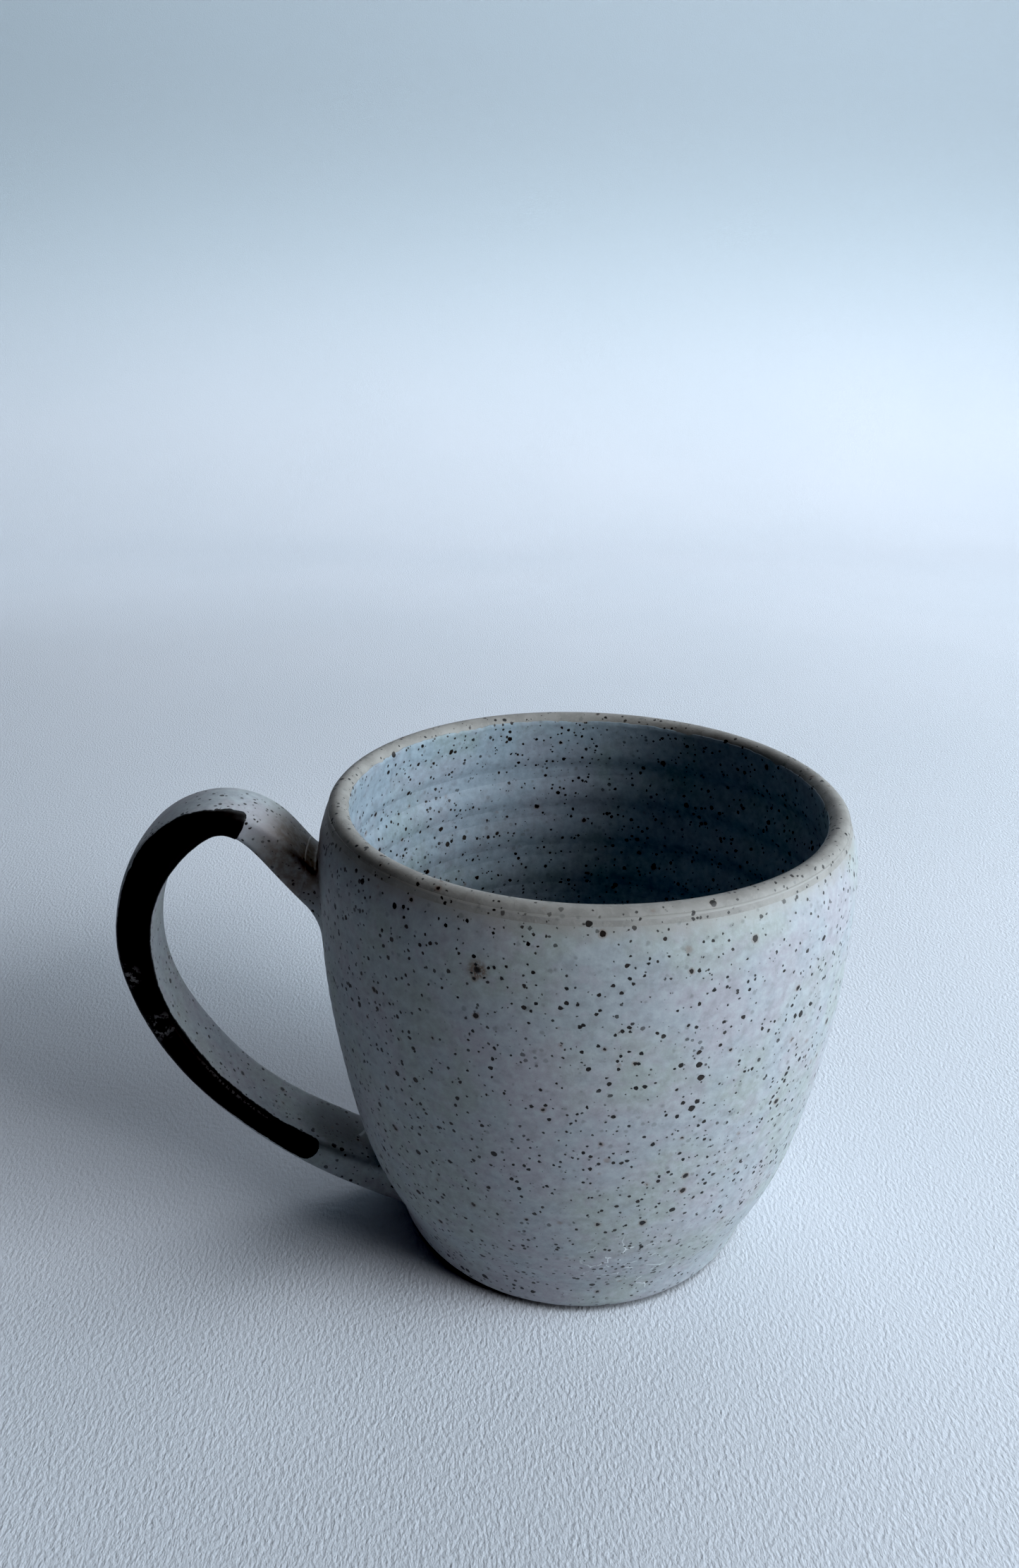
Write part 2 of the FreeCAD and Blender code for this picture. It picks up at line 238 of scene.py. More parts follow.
class Nodes:
    """Short calls for building a material's node tree."""

    def __init__(self, name):
        self.material = bpy.data.materials.new(name)
        self.material.use_nodes = True
        self.tree = self.material.node_tree
        self.tree.nodes.clear()
        self.out = self.tree.nodes.new("ShaderNodeOutputMaterial")
        self.shader = self.tree.nodes.new("ShaderNodeBsdfPrincipled")
        self.link(self.shader.outputs[0], self.out.inputs["Surface"])
        coord = self.tree.nodes.new("ShaderNodeTexCoord")
        self.mm = self.vector("MULTIPLY", coord.outputs["Object"], (1.0 / MM,) * 3)

    def link(self, a, b):
        self.tree.links.new(a, b)

    def put(self, socket, value):
        if isinstance(value, bpy.types.NodeSocket):
            self.link(value, socket)
        else:
            socket.default_value = value

    def vector(self, operation, a, b=None):
        node = self.tree.nodes.new("ShaderNodeVectorMath")
        node.operation = operation
        self.put(node.inputs[0], a)
        if b is not None:
            self.put(node.inputs[1], b)
        return node.outputs["Value"] if operation in ("LENGTH", "DISTANCE") else node.outputs[0]

    def math(self, operation, a, b=None, c=None):
        node = self.tree.nodes.new("ShaderNodeMath")
        node.operation = operation
        for socket, value in zip(node.inputs, (a, b, c)):
            if value is not None:
                self.put(socket, value)
        return node.outputs[0]

    def ramp(self, value, low, high, to_low=0.0, to_high=1.0):
        """Smooth step from to_low at low to to_high at high."""
        node = self.tree.nodes.new("ShaderNodeMapRange")
        node.interpolation_type = "SMOOTHSTEP"
        for key, v in (("Value", value), ("From Min", low), ("From Max", high),
                       ("To Min", to_low), ("To Max", to_high)):
            self.put(node.inputs[key], v)
        return node.outputs["Result"]

    def mix(self, factor, a, b):
        node = self.tree.nodes.new("ShaderNodeMix")
        node.data_type = "RGBA"
        self.put(node.inputs["Factor"], factor)
        self.put(node.inputs["A"], a if isinstance(a, bpy.types.NodeSocket) else (*a, 1.0))
        self.put(node.inputs["B"], b if isinstance(b, bpy.types.NodeSocket) else (*b, 1.0))
        return node.outputs["Result"]

    def noise(self, vector, size, detail=3.0, rough=0.5, colour=False):
        """Cloudy noise whose lumps are about size mm across."""
        node = self.tree.nodes.new("ShaderNodeTexNoise")
        self.put(node.inputs["Vector"], vector)
        node.inputs["Scale"].default_value = 1.0 / size
        node.inputs["Detail"].default_value = detail
        node.inputs["Roughness"].default_value = rough
        return node.outputs["Color"] if colour else node.outputs[0]

    def cells(self, vector, size):
        """Distance in mm to the nearest cell's point, and three random numbers for the cell."""
        node = self.tree.nodes.new("ShaderNodeTexVoronoi")
        node.feature = "F1"
        self.put(node.inputs["Vector"], vector)
        node.inputs["Scale"].default_value = 1.0 / size
        node.inputs["Randomness"].default_value = 1.0
        split = self.tree.nodes.new("ShaderNodeSeparateColor")
        self.link(node.outputs["Color"], split.inputs[0])
        return self.math("MULTIPLY", node.outputs["Distance"], size), split.outputs

    def split(self):
        """X, Y and Z in mm."""
        node = self.tree.nodes.new("ShaderNodeSeparateXYZ")
        self.put(node.inputs[0], self.mm)
        return node.outputs

    def from_axis(self):
        """Distance from the mug's axis in mm."""
        return self.vector("LENGTH", self.vector("MULTIPLY", self.mm, (1.0, 1.0, 0.0)))

    def offset(self, vector, shift):
        return self.vector("ADD", vector, shift)

    def specks(self, vector, cell, share, small, large, soft, shift):
        """Round blots: 1 inside. share is how many cells hold one; small, large are radii."""
        moved = self.offset(vector, shift)
        distance, rnd = self.cells(moved, cell)
        spread = self.math("POWER", rnd[1], MORE_SMALL)
        radius = self.math("MULTIPLY_ADD", spread, large - small, small)
        keep = self.math("LESS_THAN", rnd[0], share)
        edge = self.math("SUBTRACT", radius, distance)
        mask = self.ramp(edge, -soft, soft)
        return self.math("MULTIPLY", mask, keep), rnd[2]

    def bump(self, height, strength, distance):
        node = self.tree.nodes.new("ShaderNodeBump")
        node.inputs["Strength"].default_value = strength
        node.inputs["Distance"].default_value = distance
        self.put(node.inputs["Height"], height)
        return node.outputs[0]


# the largest specks' cell size in mm and share of cells in use, and where their cells start
BIG_CELLS = (2.9, 0.85)
BIG_SHIFT = (3.1, 7.7, 1.3)


def add_specks(n, colour, rough):
    """Iron specks burnt through the glaze: crisp dark ones, and faint ones under it."""
    warp = n.vector("SUBTRACT", n.noise(n.mm, 0.6, 2.0, colour=True), (0.5, 0.5, 0.5))
    warped = n.vector("ADD", n.mm, n.vector("MULTIPLY", warp, (0.42,) * 3))
    crowd = n.noise(n.mm, 11.0, 2.0)
    big, big_tone = n.specks(warped, *BIG_CELLS, 0.30, 0.56, 0.04, BIG_SHIFT)
    mid, mid_tone = n.specks(warped, 1.5, 0.85, 0.20, 0.38, 0.035, (11.9, 2.3, 5.1))
    mid = n.math("MULTIPLY", mid, n.ramp(crowd, 0.34, 0.50, 0.6, 1.0))
    dots, _ = n.specks(warped, 1.35, 0.75, 0.12, 0.26, 0.035, (21.3, 6.1, 14.9))
    faint, _ = n.specks(warped, 1.8, 0.80, 0.16, 0.42, 0.14, (5.3, 9.1, 17.7))
    pepper, _ = n.specks(warped, 1.15, 0.50, 0.05, 0.13, 0.05, (1.7, 4.9, 8.3))
    colour = n.mix(n.math("MULTIPLY", faint, 0.40), colour, (0.085, 0.090, 0.088))
    halo = n.math("MULTIPLY", n.ramp(big_tone, 0.70, 0.85), 0.50)
    ring, _ = n.specks(warped, *BIG_CELLS, 0.42, 0.78, 0.20, BIG_SHIFT)
    colour = n.mix(n.math("MULTIPLY", ring, halo), colour, (0.15, 0.090, 0.065))
    colour = n.mix(n.math("MULTIPLY", pepper, 0.70), colour, (0.030, 0.028, 0.026))
    dark = n.mix(mid_tone, (0.0030, 0.0030, 0.0033), (0.012, 0.008, 0.006))
    marks = n.math("MAXIMUM", n.math("MAXIMUM", big, mid), n.math("MULTIPLY", dots, 0.92))
    colour = n.mix(marks, colour, dark)
    rough = n.math("MULTIPLY_ADD", marks, -0.10, rough)
    return colour, rough, marks


def mottle(n, tones):
    """Small blurred patches of the tones, one over another."""
    pale, cool, lilac, green, deep = tones
    slow = n.noise(n.mm, 19.0, 2.0)
    cloud = n.noise(n.offset(n.mm, (41.0, 3.0, 9.0)), 9.0, 3.0)
    patch = n.noise(n.offset(n.mm, (3.0, 57.0, 21.0)), 3.4, 4.0, 0.62)
    fine = n.noise(n.mm, 1.5, 4.0, 0.62)
    dust = n.noise(n.mm, 0.45, 3.0, 0.6)
    colour = n.mix(n.ramp(slow, 0.40, 0.60), lilac, green)
    colour = n.mix(n.ramp(cloud, 0.42, 0.62, 0.0, 0.8), colour, cool)
    colour = n.mix(n.ramp(patch, 0.48, 0.66, 0.0, 0.6), colour, lilac)
    colour = n.mix(n.ramp(fine, 0.46, 0.68, 0.0, 0.55), colour, pale)
    colour = n.mix(n.ramp(fine, 0.50, 0.32, 0.0, 0.35), colour, deep)
    colour = n.mix(n.ramp(dust, 0.56, 0.74, 0.0, 0.25), colour, pale)
    return colour, fine, dust


def near(n, place, radius):
    """1 at a place on the mug, fading to 0 at the radius, all in mm."""
    return n.ramp(n.vector("DISTANCE", n.mm, place), radius, radius * 0.35)


def glaze_material(name, tones, outside):
    """Satin-matte glaze; outside, it breaks warm and thin at the rim, has marks of use, and has
    painted shade at the handle's roots.
    """
    n = Nodes(name)
    colour, fine, dust = mottle(n, tones)
    height = n.math("MULTIPLY_ADD", fine, 0.55, n.math("MULTIPLY", dust, 0.45))
    if outside:
        on_cup = n.math("LESS_THAN", n.from_axis(), BELLY_R + 0.6)
        ragged = n.math("MULTIPLY_ADD", n.noise(n.mm, 2.2, 3.0, 0.6), 3.0, n.split()[2])
        thin = n.ramp(ragged, HEIGHT - 3.6, HEIGHT + 0.6)
        colour = n.mix(n.math("MULTIPLY", n.math("MULTIPLY", thin, on_cup), 0.9), colour, BEIGE)
        # brown stain with painted shade at the upper root, painted shade in the lower crook, a
        # rusty pinhole, crazing low down
        # the upper root's brown patch is partly a real stain and partly painted shade, widened and
        # darkened where the strap meets the wall
        stain_and_painted_shade = n.math("MULTIPLY", near(n, STAIN_AND_PAINTED_SHADE, 12.0), n.ramp(fine, 0.30, 0.62, 0.5, 0.9))
        colour = n.mix(stain_and_painted_shade, colour, (0.085, 0.062, 0.042))
        # painted shade: a dark patch in the lower crook between strap and wall stands in for the
        # shade there
        crook_painted_shade = n.math("MULTIPLY", near(n, PAINTED_SHADE_CROOK, 10.0), 0.75)
        colour = n.mix(crook_painted_shade, colour, (0.030, 0.033, 0.042))
        rust = n.math("MULTIPLY", near(n, PINHOLE, 2.1), n.ramp(dust, 0.35, 0.60, 0.3, 0.85))
        colour = n.mix(rust, colour, (0.10, 0.045, 0.018))
        colour = n.mix(near(n, PINHOLE, 0.8), colour, (0.010, 0.007, 0.005))
        sway = n.vector("MULTIPLY", n.noise(n.mm, 2.5, 2.0, colour=True), (2.4,) * 3)
        bent = n.vector("ADD", n.mm, sway)
        cracks = n.tree.nodes.new("ShaderNodeTexVoronoi")
        cracks.feature = "DISTANCE_TO_EDGE"
        n.put(cracks.inputs["Vector"], bent)
        cracks.inputs["Scale"].default_value = 1.0 / 5.2
        hair = n.ramp(cracks.outputs["Distance"], 0.030, 0.010)
        patchy = n.ramp(n.noise(n.mm, 3.0, 2.0), 0.46, 0.52)
        by_foot = n.math("MAXIMUM", near(n, CRAZE[0], 9.0), near(n, CRAZE[1], 7.0))
        hair = n.math("MULTIPLY", n.math("MULTIPLY", hair, patchy), by_foot)
        colour = n.mix(n.math("MULTIPLY", hair, 0.8), colour, (0.60, 0.64, 0.66))
        height = n.math("MULTIPLY_ADD", hair, 0.7, height)
    rough = n.math("MULTIPLY_ADD", fine, 0.20, 0.46)
    colour, rough, marks = add_specks(n, colour, rough)
    n.put(n.shader.inputs["Base Color"], colour)
    n.put(n.shader.inputs["Roughness"], rough)
    n.shader.inputs["Specular IOR Level"].default_value = 0.40
    height = n.math("MULTIPLY_ADD", marks, -0.8, height)
    n.put(n.shader.inputs["Normal"], n.bump(height, 0.40, 0.00010))
    return n.material


def clay_material():
    """Bare toasted stoneware at the rim and foot."""
    n = Nodes("clay")
    grain = n.noise(n.mm, 0.7, 4.0, 0.65)
    patch = n.noise(n.mm, 3.4, 3.0)
    colour = n.mix(n.ramp(patch, 0.35, 0.65), (0.190, 0.183, 0.172), (0.240, 0.233, 0.220))
    colour = n.mix(n.ramp(grain, 0.5, 0.75, 0.0, 0.45), colour, (0.31, 0.298, 0.278))
    z = n.split()[2]
    # the foot's lowest millimetre is darkened: partly darker bare clay, partly painted contact
    # shadow
    colour = n.mix(n.ramp(z, 0.9, 0.15, 0.0, 0.8), colour, (0.050, 0.045, 0.040))
    rough = n.math("MULTIPLY_ADD", grain, 0.25, 0.55)
    colour, rough, _ = add_specks(n, colour, rough)
    n.put(n.shader.inputs["Base Color"], colour)
    n.put(n.shader.inputs["Roughness"], rough)
    n.put(n.shader.inputs["Normal"], n.bump(grain, 0.5, 0.00012))
    return n.material


def dark_material():
    """Semi-matt black glaze, worn grey in patches; along the edge by the gap its grey is painted
    highlight with some wear.
    """
    n = Nodes("dark_glaze")
    fine = n.noise(n.mm, 0.9, 4.0, 0.6)
    wear = n.noise(n.offset(n.mm, (7.0, 31.0, 2.0)), 1.3, 3.0, 0.65)
    edge_highlight_and_wear = n.tree.nodes.new("ShaderNodeAttribute")
    edge_highlight_and_wear.attribute_name = "edge_highlight_and_wear"
    # the grey along the edge by the gap is painted highlight with some wear; the grey patches are
    # wear
    edge = n.math("MULTIPLY", edge_highlight_and_wear.outputs["Fac"], n.ramp(n.noise(n.mm, 0.7, 2.0), 0.44, 0.56))
    patch = n.math("MAXIMUM", near(n, WORN[0], 3.0), near(n, WORN[1], 3.4))
    patch = n.math("MULTIPLY", patch, n.ramp(wear, 0.50, 0.62))
    colour = n.mix(fine, (0.0022, 0.0022, 0.0024), (0.0048, 0.0048, 0.0052))
    wear_and_highlight = n.math("MULTIPLY", n.math("MAXIMUM", patch, edge), 0.55)
    colour = n.mix(wear_and_highlight, colour, (0.13, 0.13, 0.135))
    n.put(n.shader.inputs["Base Color"], colour)
    n.put(n.shader.inputs["Roughness"], n.math("MULTIPLY_ADD", fine, 0.2, 0.42))
    n.shader.inputs["Specular IOR Level"].default_value = 0.18
    n.put(n.shader.inputs["Normal"], n.bump(fine, 0.4, 0.0001))
    return n.material


# where single marks are, in mm: a brown stain with painted shade at the upper root, painted shade
# in the lower crook, below the rim at the front, low on the front, and on the dark band
STAIN_AND_PAINTED_SHADE = (-47.6, -3.4, 72.6)
PAINTED_SHADE_CROOK = (-43.5, 0.5, 18.0)
PINHOLE = (-19.2, -40.6, 72.5)
CRAZE = ((3.5, -37.4, 17.0), (10.0, -33.5, 10.5))
WORN = ((-77.4, -6.0, 51.6), (-73.0, -6.2, 41.8))

BEIGE = (0.245, 0.236, 0.220)
# tones of a glaze: pale, cool, lilac, green, deep
OUTER_TONES = ((0.345, 0.378, 0.403), (0.272, 0.304, 0.332), (0.290, 0.286, 0.316),
               (0.262, 0.292, 0.286), (0.165, 0.176, 0.184))
LINER_TONES = ((0.260, 0.320, 0.370), (0.200, 0.255, 0.303), (0.210, 0.238, 0.280),
               (0.185, 0.236, 0.254), (0.120, 0.142, 0.160))
outer_glaze = glaze_material("outer_glaze", OUTER_TONES, outside=True)
liner_glaze = glaze_material("liner_glaze", LINER_TONES, outside=False)
clay = clay_material()
dark_glaze = dark_material()

# ------------------------------------------------------------------ the cup
UNEVEN = ((2, 0.7), (3, 2.1), (5, 4.0))


def out_of_round(theta, r, z):
    """Radius of the thrown wall, very slightly out of round, more so towards the rim."""
    lift = np.clip(z / HEIGHT, 0, 1)
    return r + ripple(theta, UNEVEN, 0.10) * lift - 0.12 * lift


def coat_thickness(z):
    """The outer glaze runs thin towards the rim."""
    return GLAZE * (1.0 - (1.0 - RIM_GLAZE) * swell(z, HEIGHT - 9.0, HEIGHT - 2.2))


UNDER_LINER = 1.0               # how far the clay stays behind the liner glaze, in mm


def cup():
    """Clay body: recessed foot, wall under the glaze, rounded rim, inside and floor."""
    ring_in = FOOT_R - FOOT_RING
    foot = [(0.0, FOOT_RECESS), (ring_in * 0.5, FOOT_RECESS),
            (ring_in - FOOT_RECESS * 1.3, FOOT_RECESS),
            (ring_in - FOOT_RECESS * 0.5, FOOT_RECESS * 0.55), (ring_in - 0.1, 0.12),
            (ring_in + 0.5, 0.0), (FOOT_R - 1.6, 0.0), (FOOT_R - 0.9, 0.12),
            (FOOT_R - 0.45, 0.45)]
    z = np.linspace(1.0, HEIGHT - RIM_ROUND - 0.4, 90)
    side = np.stack([wall_r(z) - coat_thickness(z), z], 1)
    a = np.linspace(LIP_START, LIP_END, 28)
    lip = on_lip(a, RIM_ROUND - GLAZE * RIM_GLAZE * (1.0 - swell(a, LIP_START, math.radians(60))))
    inside = inner_outline()[::-1][::5]
    # behind the liner glaze the clay stays well inside it
    inside[:, 0] += UNDER_LINER * swell(HEIGHT - inside[:, 1], 2.0, 6.0)
    inside[:, 1] -= UNDER_LINER * (1.0 - swell(inside[:, 0], 22.0, 38.0))
    inside[-1, 0] = 0.0
    outline = np.vstack([foot, side, lip, inside])
    theta = turns(256)
    r = outline[None, :, 0] + 0 * theta
    z = outline[None, :, 1] + 0 * theta
    rings = spun(theta, out_of_round(theta, r, z), z)
    grid_piece("clay_cup", rings, clay, "body", close_cols=False)


def outer_coat():
    """Glaze outside: it ends in a fat wavy roll above the foot and thins out at the rim."""
    theta = turns(320)
    low = BARE_FOOT + ripple(theta, ((3, 0.4), (7, 1.9), (16, 0.2), (29, 5.0)), 0.09)
    high = HEIGHT - RIM_ROUND * 0.55 + ripple(theta, ((4, 1.0), (9, 2.0)), 0.05)
    up = np.concatenate([np.linspace(0, 0.96, 144), np.linspace(0.962, 1.0, 30)])[None, :]
    z = low + (high - low) * up
    throwing = 0.035 * np.sin(TAU * (z / 3.1 + theta / TAU)) * swell(z, 6.0, 20.0)
    roll = 1.0 - swell(z - low, 0.0, 0.55)
    # at the top the coat follows the lip's round and dips under the clay, so no edge shows
    fade = (GLAZE * RIM_GLAZE + 0.05) * swell(z - high, -2.6, 0.0)
    rise = np.clip(z - rim_mid[1], RIM_ROUND * math.sin(LIP_START), RIM_ROUND)
    rounding = RIM_ROUND * math.cos(LIP_START) - np.sqrt(RIM_ROUND ** 2 - rise ** 2)
    skin = wall_r(z) - rounding
    outside = skin + throwing * swell(HEIGHT - z, 2.0, 8.0) - 0.30 * roll ** 2 - fade
    inside_z = z[:, ::-6]
    inside = wall_r(inside_z) - coat_thickness(inside_z) - 0.05
    r = np.concatenate([outside, inside], 1)
    z = np.concatenate([z, inside_z], 1)
    rings = spun(theta, out_of_round(theta, r, z), z)
    grid_piece("outer_coat", rings, outer_glaze, "outer_glaze")


def liner_coat():
    """Glaze inside, over soft spiral throwing rings, with a ragged edge on the rim."""
    line = inner_outline()
    lip = on_lip(np.linspace(LIP_END, math.radians(160), 8)[1:], RIM_ROUND + 0.03)
    line = np.vstack([line[::2], lip])
    theta = turns(320)
    r = line[None, :, 0] + 0 * theta
    z = line[None, :, 1] + 0 * theta
    heel = FLOOR + HEEL_ROUND * 0.55
    fade = swell(z, heel, heel + 12.0) * swell(HEIGHT - z, 3.0, 12.0)
    spiral = (z - heel) / RING_PITCH + theta / TAU
    rings = np.sin(TAU * spiral) + 0.12 * np.sin(TAU * 2.0 * spiral + 0.8)
    r = r - RING_DEPTH * fade * rings * (1.0 + 0.25 * np.sin(2 * theta + 1.0))
    # the floor has the thrower's small centre knob and a shallow spiral round it
    knob = 0.18 * np.exp(-(r / 5.0) ** 2)
    z = z + knob + 0.10 * np.sin(r / 3.2 + theta) * (r < 24) * np.clip(r / 6, 0, 1)
    ragged = ripple(theta, ((11, 0.3), (23, 1.2), (47, 4.1), (83, 2.2), (131, 0.6)), 0.10)
    edge = swell(z, HEIGHT - 2.6, HEIGHT - 1.0)
    z = z + ragged * edge
    back_r = r[:, ::-8] + GLAZE * 0.5
    back_z = z[:, ::-8] - GLAZE * 0.4
    r = np.concatenate([r, back_r], 1)
    z = np.concatenate([z, back_z], 1)
    r = out_of_round(theta, r, z)
    r[:, 0] = 0.0
    r[:, -1] = 0.0
    grid = spun(theta, r, z)
    grid_piece("liner_coat", grid, liner_glaze, "liner_glaze", close_cols=False)


# ------------------------------------------------------------------ the strap handle
def strap_path():
    """Centre line and thickness of the strap as rows of (x, z, thickness)."""
    crown = HEIGHT - HANDLE_DROP - STRAP_THICK * CROWN_SHARE / 2
    reach = HANDLE_REACH - STRAP_THICK / 2
    top_z = HEIGHT - TOP_ROOT
    pts = [(-(float(wall_r(top_z)) - ROOT_SUNK), top_z, STRAP_THICK * 0.98)]
    for out, up, thick in PULLED_CURVE:
        z = LOW_ROOT + up * (crown - LOW_ROOT)
        pts.append((-(BELLY_R + out * reach), z, STRAP_THICK * thick))
    pts.append((-(float(wall_r(LOW_ROOT)) - ROOT_SUNK), LOW_ROOT - ROOT_DIP, STRAP_THICK * 1.03))
    return smooth_through(pts, 420)


PATH, THICK = np.split(strap_path(), [2], axis=1)
THICK = THICK[:, 0]
RUN = lengths(PATH)
LENGTH = RUN[-1]


def section(half, wide):
    """Outline of the strap as (across, outward), for half its thickness and half its width.

    It starts in the near side's middle and goes over the face by the gap, the far side and
    the crowned outer face.
    """
    r = STRAP_EDGE
    top = half - STRAP_CROWN
    side = wide - r
    bend = np.linspace(0, math.pi / 2, 9)

    def corner(across, outward, angles):
        """A rounded edge; across and outward are the signed centre of its round."""
        return [(across + math.copysign(r * math.cos(a), across),
                 outward + math.copysign(r * math.sin(a), outward)) for a in angles]

    pts = [(-wide, 0.0), (-wide, -(half - r))]
    pts += corner(-side, -(half - r), bend[1:])
    pts.append((side, -half))
    pts += corner(side, -(half - r), bend[::-1][1:])
    pts.append((wide, top - r))
    pts += corner(side, top - r, bend[1:])
    pts += [(u * side, top + STRAP_CROWN * (1 - u * u)) for u in np.linspace(1, -1, 17)[1:-1]]
    pts += corner(-side, top - r, bend[::-1])
    pts.append((-wide, 0.0))
    return np.array(pts)


STRAP_COLS = 168                # points round the strap


def strap_surface():
    """Points over the strap, each one's distance round it, and half its thickness along it."""
    tangent = np.gradient(PATH, axis=0)
    tangent /= np.linalg.norm(tangent, axis=1)[:, None]
    out_x = tangent[:, 1]
    out_z = -tangent[:, 0]
    share = RUN / LENGTH
    half = THICK / 2 - 0.02 + 0.02 * np.sin(share * 31.0 + 1.0)
    stops = np.array(STRAP_WIDTHS)
    wide = np.interp(share, stops[:, 0], stops[:, 1]) / 2 - 0.06 + 0.06 * np.sin(share * 23.0 + 0.4)
    lean = 0.05 * np.sin(share * 8.0 + 2.0)
    grid = np.zeros((len(PATH), STRAP_COLS, 3))
    around = np.zeros((len(PATH), STRAP_COLS))
    for i in range(len(PATH)):
        outline = section(half[i], wide[i])
        step = lengths(outline)
        even = np.linspace(0, step[-1], STRAP_COLS + 1)[:-1]
        across = np.interp(even, step, outline[:, 0]) + lean[i]
        outward = np.interp(even, step, outline[:, 1])
        grid[i, :, 0] = PATH[i, 0] + outward * out_x[i]
        grid[i, :, 1] = across
        grid[i, :, 2] = PATH[i, 1] + outward * out_z[i]
        around[i] = even
    return grid, around, half


STRAP, AROUND, HALF = strap_surface()


def girth(along):
    """Distance right round the strap, in mm."""
    return np.interp(along, RUN, AROUND[:, 1] * STRAP_COLS)


def on_strap(along, around):
    """Points and outward normals on the strap at distances along and round it, in mm."""
    row = np.interp(along, RUN, np.arange(len(RUN)))
    col = (around / girth(along) * STRAP_COLS) % STRAP_COLS

    def pick(row, col):
        i = np.clip(np.floor(row).astype(int), 0, len(RUN) - 2)
        j = np.floor(col).astype(int) % STRAP_COLS
        k = (j + 1) % STRAP_COLS
        f = (row - i)[..., None]
        g = (col - np.floor(col))[..., None]
        return ((1 - f) * ((1 - g) * STRAP[i, j] + g * STRAP[i, k])
                + f * ((1 - g) * STRAP[i + 1, j] + g * STRAP[i + 1, k]))

    p = pick(row, col)
    d_row = pick(np.minimum(row + 1, len(RUN) - 1), col) - pick(np.maximum(row - 1, 0), col)
    d_col = pick(row, (col + 1) % STRAP_COLS) - pick(row, (col - 1) % STRAP_COLS)
    normal = np.cross(d_row, d_col)
    normal /= np.linalg.norm(normal, axis=-1)[..., None] + 1e-12
    centre_x, centre_z = (np.interp(along, RUN, PATH[:, k]) for k in (0, 1))
    centre = np.stack([centre_x, 0 * along, centre_z], -1)
    flip = np.sign(np.sum(normal * (p - centre), -1))[..., None]
    return p, normal * flip


def at_share(along, share):
    """Points and normals on the strap at distances along it and at a share of its girth."""
    return on_strap(along, share * girth(along))


def strap_coat():
    """The glazed strap; its ends run on into the wall."""
    grid_piece("strap_coat", STRAP, outer_glaze, "handle_glaze",
               close_rows=False, capped=True)


def notch(x, seed, size):
    """Uneven edge of a brushed band: slow wander, fine teeth and a few deeper nicks."""
    rng = np.random.default_rng(seed)
    out = np.zeros_like(x)
    for wave in (17.0, 7.3, 3.1, 1.45, 0.8):
        out += np.sin(x / wave * TAU + rng.uniform(0, TAU)) * size * (wave / 17.0) ** 0.45
    for _ in range(22):
        at = rng.uniform(x.min(), x.max())
        out += rng.uniform(-1.6, 1.2) * size * np.exp(-((x - at) / rng.uniform(0.15, 0.45)) ** 2)
    return out


# where the dark band starts and ends, as shares of the strap's length
BAND_START = 0.156
BAND_END = 0.852
# how far the dark band stays inside the strap's outer edge, at shares of its length
BAND_INSETS = ((0.15, -0.45), (0.19, -0.30), (0.24, 0.05), (0.31, 0.45), (0.42, 0.30),
               (0.58, 0.18), (0.68, 0.60), (0.80, 0.95), (0.86, 0.75))


def round_off(gap, radius):
    """A round end: 0 at no gap, rising as a quarter circle to 1 at the radius."""
    return np.sqrt(np.clip(1 - (1 - np.clip(gap / radius, 0, 1)) ** 2, 0, 1))


def mark_edge_highlight_and_wear(piece, places, strength):
    """Give each vertex the strength of the place it lies at, or 0 where it lies at none."""
    tree = KDTree(len(places))
    for i, place in enumerate(places):
        tree.insert(place, i)
    tree.balance()
    values = []
    for vertex in piece.data.vertices:
        _, i, gap = tree.find(vertex.co)
        values.append(float(strength[i]) if gap < NEAR_ENOUGH else 0.0)
    edge_highlight_and_wear = piece.data.attributes.new("edge_highlight_and_wear", "FLOAT", "POINT")
    edge_highlight_and_wear.data.foreach_set("value", values)


def dark_band():
    """Black glaze brushed on the strap's near side, turned over the edge by the gap."""
    start = LENGTH * BAND_START
    end = LENGTH * BAND_END
    along = np.linspace(start, end, 620)
    half = np.interp(along, RUN, HALF)
    stops = np.array(BAND_INSETS)
    inset = np.interp(along / LENGTH, stops[:, 0], stops[:, 1])
    turn = np.arccos(np.clip(1 - np.maximum(inset, 0) / STRAP_EDGE, -1, 1))
    low = -(half - STRAP_CROWN - STRAP_EDGE) - STRAP_EDGE * (math.pi / 2 - turn)
    low = low + np.minimum(inset, 0)
    near_crown = np.exp(-((along - start) / 9.0) ** 2)
    low = low + notch(along, 5, 0.07) * (1 + 3.0 * near_crown)
    corner = half - STRAP_EDGE + STRAP_EDGE * math.pi / 4
    high = half - STRAP_EDGE + STRAP_EDGE * math.pi / 2 + 0.05 + notch(along, 9, 0.13)
    middle = (low + high) / 2
    reach = (high - low) / 2
    ends = np.minimum(round_off(along - start, 0.8), round_off(end - along, 2.4))
    reach = reach * ends
    across = np.linspace(-1, 1, 30)
    w = middle[:, None] + reach[:, None] * across[None, :]
    p, normal = on_strap(along[:, None] + 0 * w, w)
    bead = 0.14 * np.clip(1 - across ** 8, 0, 1)[None, :, None]
    face = p + normal * (0.01 + bead * ends[:, None, None])
    back = (p - normal * 0.25)[:, ::-1]
    grid = np.concatenate([face, back], 1)
    piece = grid_piece("dark_band", grid, dark_glaze, "handle_band",
                       close_rows=False, capped=True)
    # the pale line along the edge by the gap, from the strap's lower half to the band's end, is
    # painted highlight where the edge catches light, with some wear
    edge_highlight_and_wear_line = np.exp(-((w - corner[:, None]) / 0.20) ** 2)
    edge_highlight_and_wear_line = edge_highlight_and_wear_line * swell(along / LENGTH, 0.60, 0.68)[:, None]
    mark_edge_highlight_and_wear(piece, face.reshape(-1, 3) * MM, edge_highlight_and_wear_line.reshape(-1))


